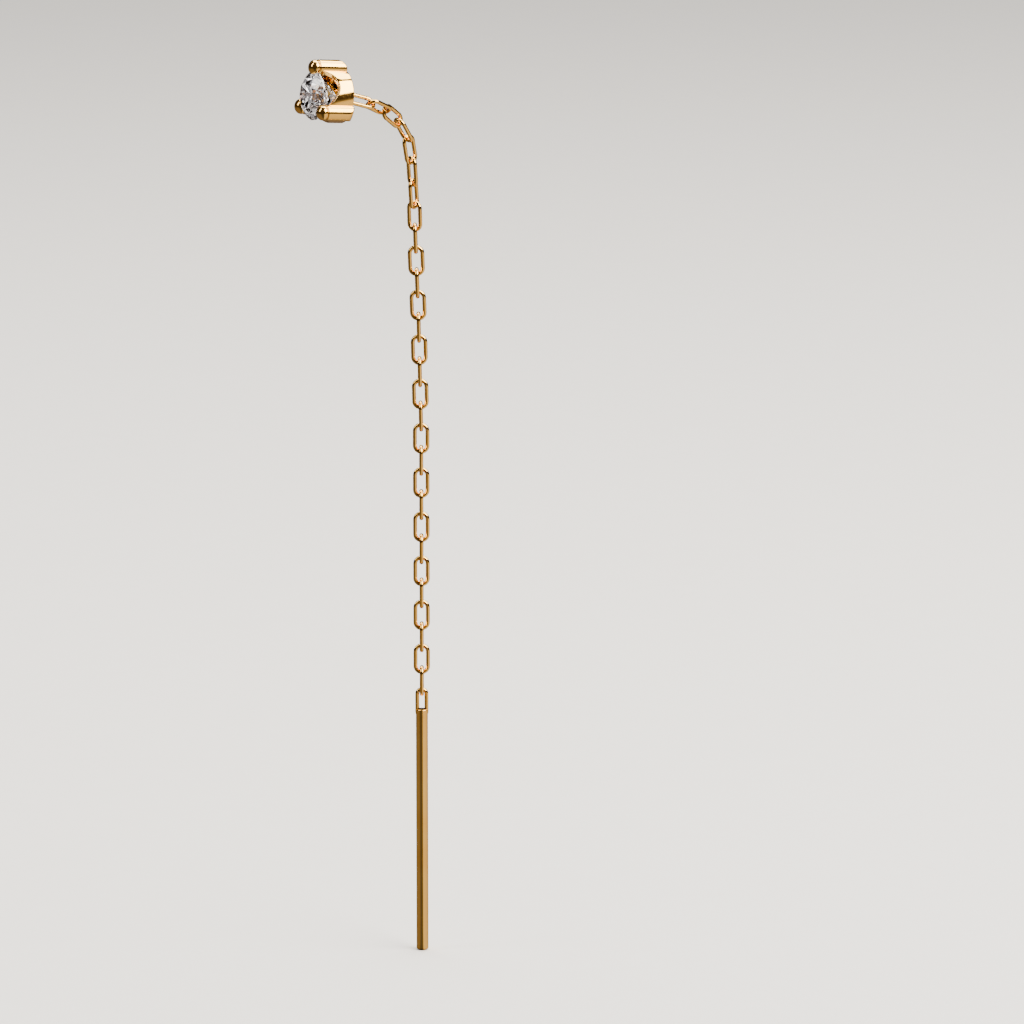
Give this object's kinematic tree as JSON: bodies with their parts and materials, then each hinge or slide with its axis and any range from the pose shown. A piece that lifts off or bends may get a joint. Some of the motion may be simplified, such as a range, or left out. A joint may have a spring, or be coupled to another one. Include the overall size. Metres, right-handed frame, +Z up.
{
  "type": "threader earring",
  "caption": "Threader earring: a round stone in a three-prong cup, with a fine cable chain from its back that ends in a plain round bar.",
  "frame": {"origin": "centre of the setting's back face, where it bears on the ear round the piercing", "axes": "+Z up, against the hang of the chain; +Y backwards through the ear, the way the chain leaves; the stone faces -Y"},
  "size_m": [0.0042, 0.0096, 0.0607],
  "materials": {
    "gold": "polished yellow gold",
    "stone": "clear, faceted and polished"
  },
  "bodies": {
    "chain": {"setting": "gold", "stone": "stone", "link_01": "gold", "link_02": "gold", "link_03": "gold", "link_04": "gold", "link_05": "gold", "link_06": "gold", "link_07": "gold", "link_08": "gold", "link_09": "gold", "link_10": "gold", "link_11": "gold", "link_12": "gold", "link_13": "gold", "link_14": "gold", "link_15": "gold", "link_16": "gold", "link_17": "gold", "link_18": "gold", "link_19": "gold", "link_20": "gold", "link_21": "gold", "link_22": "gold", "link_23": "gold", "link_24": "gold", "link_25": "gold", "link_26": "gold", "link_27": "gold", "link_28": "gold"},
    "bar": {"threader_bar": "gold"}
  },
  "joints": [
    {"name": "bar_swing", "type": "hinge", "parent": "chain", "child": "bar", "pos_m": [-0.0015, 0.00643, -0.04067], "axis": [-0.8829, 0.4695, 0], "range_deg": [-90, 90]}
  ]
}
